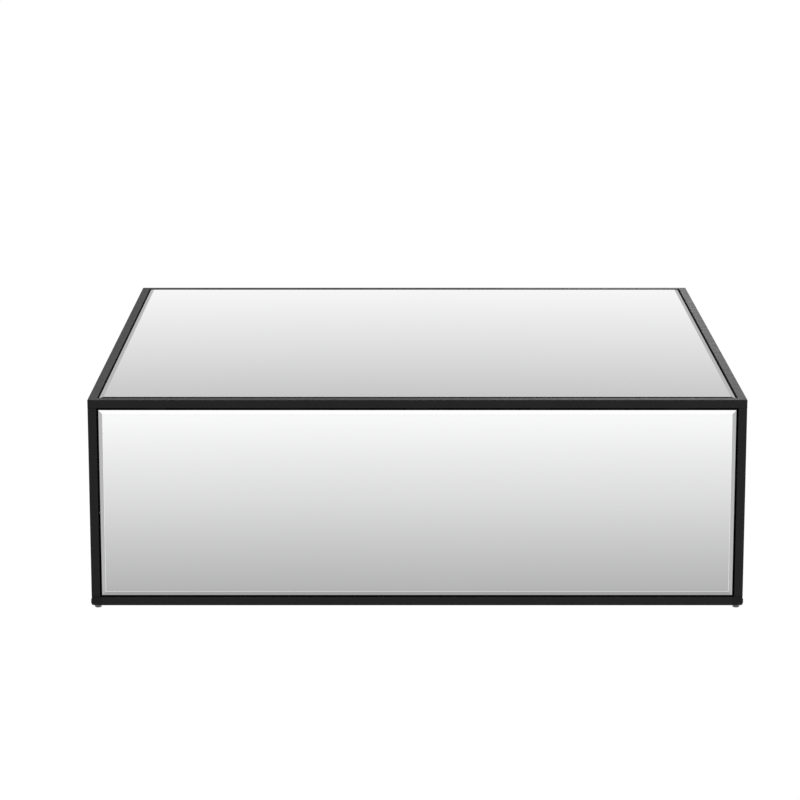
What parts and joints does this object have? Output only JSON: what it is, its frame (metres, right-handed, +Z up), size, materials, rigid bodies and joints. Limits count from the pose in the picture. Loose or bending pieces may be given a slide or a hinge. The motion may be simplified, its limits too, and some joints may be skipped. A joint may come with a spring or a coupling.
{
  "type": "coffee table",
  "caption": "Square block coffee table: a black square-tube frame holds flush bevelled mirror panels on the top and sides, on low corner feet with screw-adjusted glides.",
  "frame": {"origin": "centre of the table's footprint on the floor, under the glides", "axes": "+X to the right and +Y to the back, seen from the front; +Z up"},
  "size_m": [1.2226, 1.2226, 0.4],
  "materials": {
    "frame_steel": "satin black powder coat",
    "mirror": "silvered clear glass, bevelled edge",
    "board": "fibreboard, dark stained edges",
    "adhesive": "cured mirror adhesive",
    "fastener": "zinc plated",
    "insert": "machined",
    "foot_plastic": "fine moulded texture",
    "stud_steel": "zinc plated",
    "pad_nylon": "smooth nylon"
  },
  "bodies": {
    "root": {"leg_front_left": "frame_steel", "leg_front_right": "frame_steel", "leg_back_left": "frame_steel", "leg_back_right": "frame_steel", "top_rail_front": "frame_steel", "top_rail_back": "frame_steel", "top_rail_left": "frame_steel", "top_rail_right": "frame_steel", "bottom_rail_front": "frame_steel", "bottom_rail_back": "frame_steel", "bottom_rail_left": "frame_steel", "bottom_rail_right": "frame_steel", "mirror_top": "mirror", "mirror_front": "mirror", "mirror_back": "mirror", "mirror_left": "mirror", "mirror_right": "mirror", "beads_top": "adhesive", "beads_front": "adhesive", "beads_back": "adhesive", "beads_left": "adhesive", "beads_right": "adhesive", "board_top": "board", "board_front": "board", "board_back": "board", "board_left": "board", "board_right": "board", "tabs_top": "frame_steel", "tabs_bottom": "frame_steel", "tabs_front": "frame_steel", "tabs_back": "frame_steel", "tabs_left": "frame_steel", "tabs_right": "frame_steel", "screws_top": "fastener", "screws_bottom": "fastener", "screws_front": "fastener", "screws_back": "fastener", "screws_left": "fastener", "screws_right": "fastener", "bearer_left": "frame_steel", "bearer_right": "frame_steel", "bearer_plates": "frame_steel", "bearer_screws": "fastener", "bottom_cover": "board", "foot_inserts": "insert", "foot_front_left": "foot_plastic", "foot_front_right": "foot_plastic", "foot_back_left": "foot_plastic", "foot_back_right": "foot_plastic"},
    "glide_front_left": {"glide_pad_front_left": "pad_nylon"},
    "stud_front_left": {"glide_stud_front_left": "stud_steel"},
    "glide_front_right": {"glide_pad_front_right": "pad_nylon"},
    "stud_front_right": {"glide_stud_front_right": "stud_steel"},
    "glide_back_left": {"glide_pad_back_left": "pad_nylon"},
    "stud_back_left": {"glide_stud_back_left": "stud_steel"},
    "glide_back_right": {"glide_pad_back_right": "pad_nylon"},
    "stud_back_right": {"glide_stud_back_right": "stud_steel"}
  },
  "joints": [
    {"name": "glide_front_left_extend", "type": "slide", "parent": "root", "child": "glide_front_left", "axis": [0, 0, -1], "range_m": [0, 0.008]},
    {"name": "stud_front_left_turn", "type": "hinge", "parent": "glide_front_left", "child": "stud_front_left", "pos_m": [-0.5988, -0.5988, 0.01], "axis": [0, 0, -1], "range_deg": [0, 2304]},
    {"name": "glide_front_right_extend", "type": "slide", "parent": "root", "child": "glide_front_right", "axis": [0, 0, -1], "range_m": [0, 0.008]},
    {"name": "stud_front_right_turn", "type": "hinge", "parent": "glide_front_right", "child": "stud_front_right", "pos_m": [0.5988, -0.5988, 0.01], "axis": [0, 0, -1], "range_deg": [0, 2304]},
    {"name": "glide_back_left_extend", "type": "slide", "parent": "root", "child": "glide_back_left", "axis": [0, 0, -1], "range_m": [0, 0.008]},
    {"name": "stud_back_left_turn", "type": "hinge", "parent": "glide_back_left", "child": "stud_back_left", "pos_m": [-0.5988, 0.5988, 0.01], "axis": [0, 0, -1], "range_deg": [0, 2304]},
    {"name": "glide_back_right_extend", "type": "slide", "parent": "root", "child": "glide_back_right", "axis": [0, 0, -1], "range_m": [0, 0.008]},
    {"name": "stud_back_right_turn", "type": "hinge", "parent": "glide_back_right", "child": "stud_back_right", "pos_m": [0.5988, 0.5988, 0.01], "axis": [0, 0, -1], "range_deg": [0, 2304]}
  ],
  "couplings": [
    {"joint": "stud_front_left_turn", "follows": "glide_front_left_extend", "rad_per_m": 5026.5},
    {"joint": "stud_front_right_turn", "follows": "glide_front_right_extend", "rad_per_m": 5026.5},
    {"joint": "stud_back_left_turn", "follows": "glide_back_left_extend", "rad_per_m": 5026.5},
    {"joint": "stud_back_right_turn", "follows": "glide_back_right_extend", "rad_per_m": 5026.5}
  ]
}
